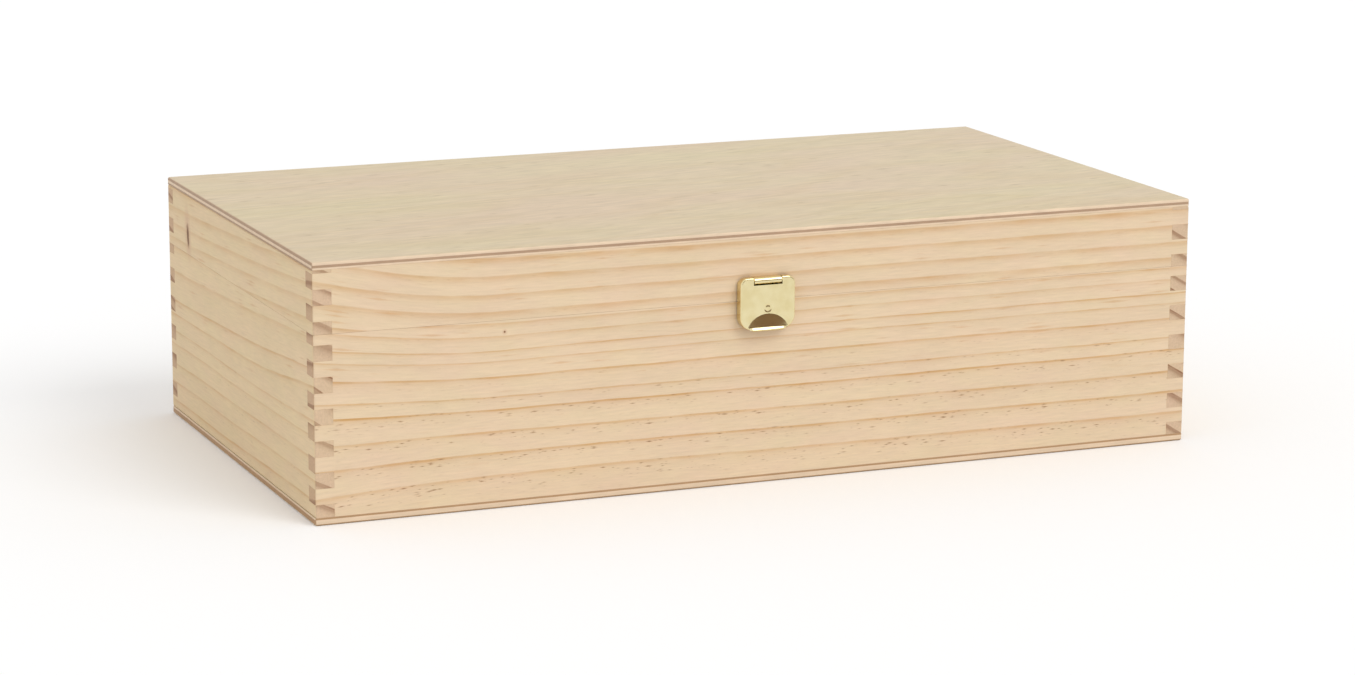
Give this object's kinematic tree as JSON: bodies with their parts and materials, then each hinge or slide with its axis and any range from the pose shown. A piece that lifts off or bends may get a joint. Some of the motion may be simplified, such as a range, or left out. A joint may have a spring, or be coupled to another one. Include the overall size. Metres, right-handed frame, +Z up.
{
  "type": "hinged wooden box",
  "caption": "Long shallow wooden box with finger-jointed pine sides, thin plywood top and bottom, a hinged lid and a brass snap catch at the front.",
  "frame": {"origin": "centre of the underside, where the box rests", "axes": "+X to the right along the box's length seen from the front, +Y towards the back, so the catch faces -Y, +Z up"},
  "size_m": [0.365, 0.2062, 0.099],
  "materials": {
    "pine": "planed and sanded pine, untreated",
    "birch_plywood": "three-ply birch plywood, sanded, untreated",
    "brass_sheet": "pressed sheet, bright brass plate",
    "brass_fasteners": "bright brass plate",
    "steel_pin": "drawn steel wire"
  },
  "bodies": {
    "base": {"base_front_board": "pine", "base_back_board": "pine", "base_left_board": "pine", "base_right_board": "pine", "bottom_panel": "birch_plywood", "latch_keeper": "brass_sheet", "latch_keeper_nails": "brass_fasteners", "hinge_left_base_leaf": "brass_sheet", "hinge_right_base_leaf": "brass_sheet", "hinge_left_pin": "steel_pin", "hinge_right_pin": "steel_pin", "hinge_base_screws": "brass_fasteners"},
    "lid": {"lid_front_board": "pine", "lid_back_board": "pine", "lid_left_board": "pine", "lid_right_board": "pine", "top_panel": "birch_plywood", "latch_lid_plate": "brass_sheet", "latch_lid_nails": "brass_fasteners", "hinge_left_lid_leaf": "brass_sheet", "hinge_right_lid_leaf": "brass_sheet", "hinge_lid_screws": "brass_fasteners"},
    "latch_cover": {"latch_cover": "brass_sheet"}
  },
  "joints": [
    {"name": "lid_hinge", "type": "hinge", "parent": "base", "child": "lid", "pos_m": [0, 0.10055, 0.07195], "axis": [-1, 0, 0], "range_deg": [0, 180]},
    {"name": "latch_hinge", "type": "hinge", "parent": "lid", "child": "latch_cover", "pos_m": [-0.0027, -0.1014, 0.08], "axis": [-1, 0, 0], "range_deg": [0, 170]}
  ]
}
